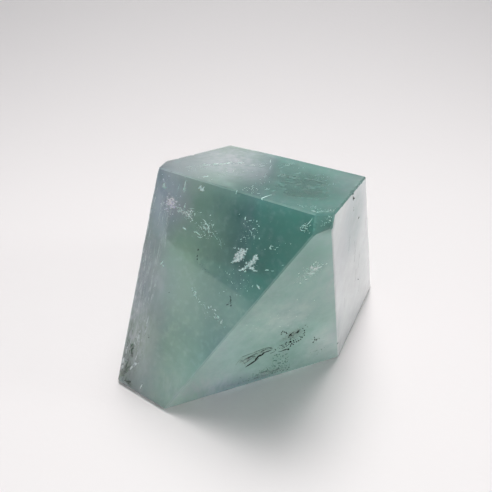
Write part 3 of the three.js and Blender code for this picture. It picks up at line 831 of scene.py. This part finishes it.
def corner_stain():
    """Old dirt and iron stain in the rough skin left at the foot of the front left flat: grey-green
    smudges and streaks, and an olive film in the corner itself."""
    rng = np.random.default_rng(71)
    # across, up, half length, turn, bow, greatest width
    streaks = [
        (-6.3, -1.7, 0.7, 66, 0.1, 0.22), (-6.1, -2.6, 0.7, 84, 0.1, 0.3), (-5.9, -3.3, 0.5, 100, 0.1, 0.2),
        (-6.9, -1.2, 0.8, 84, 0.1, 0.12), (-6.7, -5.6, 1.1, 80, 0.12, 0.24),
        (-6.6, -6.6, 0.8, 74, 0.1, 0.26), (-6.2, -5.9, 0.5, 60, 0.1, 0.16), (-4.9, -6, 0.3, 60, 0, 0.08),
        (-5.8, -8.7, 0.5, 40, 0.08, 0.2), (-6.3, -8.9, 0.6, 10, 0.08, 0.16),
        (-5.3, -9.2, 0.5, -10, 0.06, 0.16), (-7.5, -8.3, 0.4, 60, 0.1, 0.14),
        (-7.3, -1.6, 1.4, 84, 0.05, 0.1), (-7.4, -0.2, 1.6, 86, 0.05, 0.08), (-7, 2.4, 1.2, 86, 0.05, 0.07),
        (-7.5, -4, 1, 84, 0.05, 0.08), (-2.8, -8.2, 0.3, 50, 0, 0.07),
    ]
    parts = [curved_strands("front_left", streaks, -0.006, rng, 0.05)]
    # Crumbs between them: across, up, half reach across and up, count.
    crumbs = [
        (-6.2, -2.4, 0.5, 1.2, 24), (-6.7, -5.9, 0.6, 1.6, 30), (-5.9, -8.7, 0.9, 0.5, 18),
        (-7.5, -8, 0.5, 0.7, 12),
    ]
    for across, up, run, breadth, count in crumbs:
        p, q = rng.uniform(-1, 1, (2, count))
        size = rng.uniform(0.03, 0.1, count)
        parts.append(grains(lay("front_left", across + p * run, up + q * breadth, -size * 0.1), size, rng))
    # Clay and chlorite ground into the rough skin: dull, dark grey-green.
    dirt = mottled_mark("grey_green_dirt", "#4E6452", "#22302A", per_mm=1.6, roughness=0.7, index=1.2)
    build("corner_stain", dirt, *join(parts))
    # across, up, half length, half width, turn
    smears = [
        (-7.5, -7.6, 0.7, 1.1, 0), (-6.2, -2.5, 0.8, 1.9, 0), (-6.5, -6, 0.9, 2.1, 0),
        (-5.8, -8.7, 1.4, 0.8, 0),
    ]
    # Iron stain over the green: a thin olive wash round the dirt.
    olive = fading_mark("olive_stain", "#7E9074", "#485A46", 0.45, 1.1, 0.38, 0.62)
    build("corner_stain_film", olive, *films("front_left", smears, rng))


def back_and_left_marks():
    """The flats at the back and left: healed cracks as milky veils in the polish, with dust and short steps
    along them, one bruise of flakes low on the back, wisps on the left flat and a few dark specks."""
    rng = np.random.default_rng(83)
    # Each healed crack: across, up, half length, half width, turn.
    cracks = {
        "back": [(-9, 17, 8, 2.2, 38), (5, 4, 7.5, 1.7, -16), (-13, 1, 4.5, 1.4, 72), (7, 17, 4, 1, 60)],
        "back_left": [(4, 13, 7, 1.5, 66), (-3.5, -5, 4.5, 1.4, 50), (10, 23, 3.2, 0.9, 20)],
        "left": [(8, 15, 8, 1.9, 60), (-3, 2, 5.5, 1.4, 24), (15, 4, 4.5, 1.1, 80)],
    }
    # Loose flakes between the cracks: the middle of a flat, and how far along and up they reach.
    loose = {"back": (-2, 12, 16, 16), "back_left": (3, 8, 8, 18), "left": (6, 12, 16, 16)}
    veils, fades, bright = [], [], []
    for flat, rows in cracks.items():
        points, faces, fade = films(flat, rows, rng)
        veils.append((points, faces))
        fades.append(fade)
        fields = [(x, y, 0.8 * r, 0.8 * b, a, round(10 * r), 0.04, 0.2, 0.35) for x, y, r, b, a in rows]
        fields.append((*loose[flat], 0, 70, 0.04, 0.16, 0.45))
        bright.append(dust(flat, fields, rng))
        # Four short steps stand along each crack.
        across, up, run, breadth, turn = np.repeat(np.array(rows, float), 4, axis=0).T
        n = len(turn)
        run, side = run * rng.uniform(-0.85, 0.85, n), breadth * rng.normal(0, 0.3, n)
        steps = [*swung(across, up, turn, run, side), rng.uniform(0.3, 1.2, n), turn + rng.normal(0, 16, n)]
        steps += [rng.uniform(-0.2, 0.3, n), rng.uniform(0.06, 0.18, n)]
        bright.append(curved_strands(flat, np.stack(steps, 1), -0.015, rng))
    bruise = [
        (-4, -2, 1.2, 0.8, 40, 30, 0.1, 0.5, 0.6), (-3.2, -3, 1.6, 1, 20, 30, 0.04, 0.18, 0.5),
        (-8, 26, 1, 0.6, 10, 16, 0.08, 0.34, 0.6),
    ]
    bright.append(chips(*spread("back", bruise, rng, (-0.02, 0.02)), rng))
    # Air in parted cleavages again, a little greyer, as the back took fewer knocks.
    pearly = mottled_mark("back_cleavage", "#EEF8F5", "#98BCB4", per_mm=2.6)
    build("back_steps_and_dust", pearly, *join(bright))
    # Tiny bubbles in a healed crack seen flat on: a milky veil, thick in the middle and gone at its rim.
    milk = fading_mark("healed_crack_veil", "#E2EAEC", "#A8C0BE", 0.55, 0.9, 0.36, 0.66)
    build("healed_crack_veils", milk, *join(veils), np.concatenate(fades))
    specks = {
        "back": [(9, -3, 2.4, 0.8, 12, 26, 0.04, 0.12)],
        "back_left": [(1, 2, 1.8, 0.7, 60, 16, 0.04, 0.11)],
        "left": [(2, -1.5, 3, 0.6, 6, 24, 0.04, 0.11), (-11, -1, 1.6, 1.2, 30, 22, 0.04, 0.13)],
    }
    dark = []
    for flat, rows in specks.items():
        dark += sprinkled(flat, rows, rng)
    # Weathered pyrite: brown-black grains with a dull shine.
    build("back_specks", mottled_mark("brown_speck", "#3A332C", "#181412", 6, roughness=0.5), *join(dark))
    rows = wisp_field(rng, 46, (0, 17), (-2, 20), (0.8, 3.6), (93, 4), (0.05, 0.16))
    # The same milky threads as on the front left flat, cooler beside the lavender zones.
    veil = fading_mark("left_flat_wisp", "#DAE2E6", "#AEBEC2", 0.5, 1.2, 0.25, 0.6)
    strips = curved_strands("left", rows, -0.01, rng, 0.03)
    build("left_flat_wisps", veil, *strips, strand_fade(len(rows)))


stone_solid()
bright_flakes()
pearl_dust()
crack_steps()
fine_wisps()
dark_specks()
dark_fracture()
corner_stain()
back_and_left_marks()

# ---------------- stage, lights and camera
FLOOR_DROP = 0.4
SWEEP_FRONT, SWEEP_START, SWEEP_RADIUS, SWEEP_TURN, SWEEP_BACK = -900, 45, 200, 55, 260
SWEEP_HALF_WIDTH = 1200.0


def matt_paper():
    """Heavy matt paper, calendered: an even pale sheet with a faint tooth of about 1 mm."""
    made, put, mm = new_material("matt_pale_paper")
    tooth = put("TexNoise", {"Vector": mm, "Scale": 0.9, "Detail": 4})
    bump = put("Bump", {"Height": tooth, "Strength": 0.12, "Distance": 0.2 * MM})
    shader = put("BsdfPrincipled", {"Base Color": srgb("#E4DFDE"), "Roughness": 0.7, "Normal": bump})
    put("OutputMaterial", {"Surface": shader})
    return made


def paper_sweep():
    """A sheet that turns up behind the stone: a profile of y and z carried along x. It lies flat, follows an
    arc, y = start + radius sin a and z = radius (1 - cos a), and then runs straight on."""
    turn = np.linspace(0, math.radians(SWEEP_TURN), 20)
    y = np.concatenate([[SWEEP_FRONT], SWEEP_START + SWEEP_RADIUS * np.sin(turn)])
    z = np.concatenate([[0], SWEEP_RADIUS * (1 - np.cos(turn))])
    y = np.append(y, y[-1] + SWEEP_BACK * math.cos(turn[-1]))
    z = np.append(z, z[-1] + SWEEP_BACK * math.sin(turn[-1])) - FLOOR_DROP
    x = np.array([-SWEEP_HALF_WIDTH, SWEEP_HALF_WIDTH])
    points = np.stack(np.broadcast_arrays(x[None, :], y[:, None], z[:, None]), -1).reshape(-1, 3) * MM
    a = np.arange(len(y) - 1) * 2
    faces = np.stack([a, a + 1, a + 3, a + 2], 1)
    mesh = bpy.data.meshes.new("paper_sweep")
    mesh.from_pydata(points.tolist(), [], faces.tolist())
    mesh.polygons.foreach_set("use_smooth", np.ones(len(faces), bool))
    mesh.materials.append(matt_paper())
    show(mesh)


def soft_light(name, place, aim, size, power, spread):
    """A round diffused lamp of a size, aimed from a place; its light spreads by an angle in degrees."""
    lamp = bpy.data.lights.new(name, "AREA")
    lamp.shape = "DISK"
    lamp.size = size * MM
    lamp.energy = power
    lamp.spread = math.radians(spread)
    made = show(lamp)
    made.location = Vector(place) * MM
    made.rotation_euler = (Vector(aim) - Vector(place)).to_track_quat("-Z", "Y").to_euler()


paper_sweep()
soft_light("side_window", (420, -60, 160), aim=(30, 5, 0), size=200, power=0.01, spread=20)
soft_light("window", (45, 130, 540), aim=(0, -30, 0), size=420, power=0.37, spread=40)

world = bpy.data.worlds.new("pale_room")
scene.world = world
world.use_nodes = True
world.node_tree.nodes.clear()
room = add(world.node_tree, "Background", {"Color": srgb("#C8CCD0"), "Strength": 0.6})
add(world.node_tree, "OutputWorld", {"Surface": room})

# A close view, looking down on the stone from in front; the focal length is in pixels of a square frame.
FRAME_SIDE_PX = 492
FOCAL_PX = 650
SENSOR_MM = 36
LOOK_DOWN = 35
CAMERA_MM = (-1.75, -100.24, 85.75)
lens = bpy.data.cameras.new("camera")
lens.sensor_width = SENSOR_MM
lens.lens = SENSOR_MM * FOCAL_PX / FRAME_SIDE_PX
lens.clip_start = 5 * MM
camera = show(lens)
camera.location = Vector(CAMERA_MM) * MM
camera.rotation_euler = (math.radians(90 - LOOK_DOWN), 0, 0)
scene.camera = camera
scene.view_settings.view_transform = "Standard"
# Light crosses the stone many times before it leaves.
scene.cycles.transmission_bounces = 24
scene.cycles.max_bounces = 24
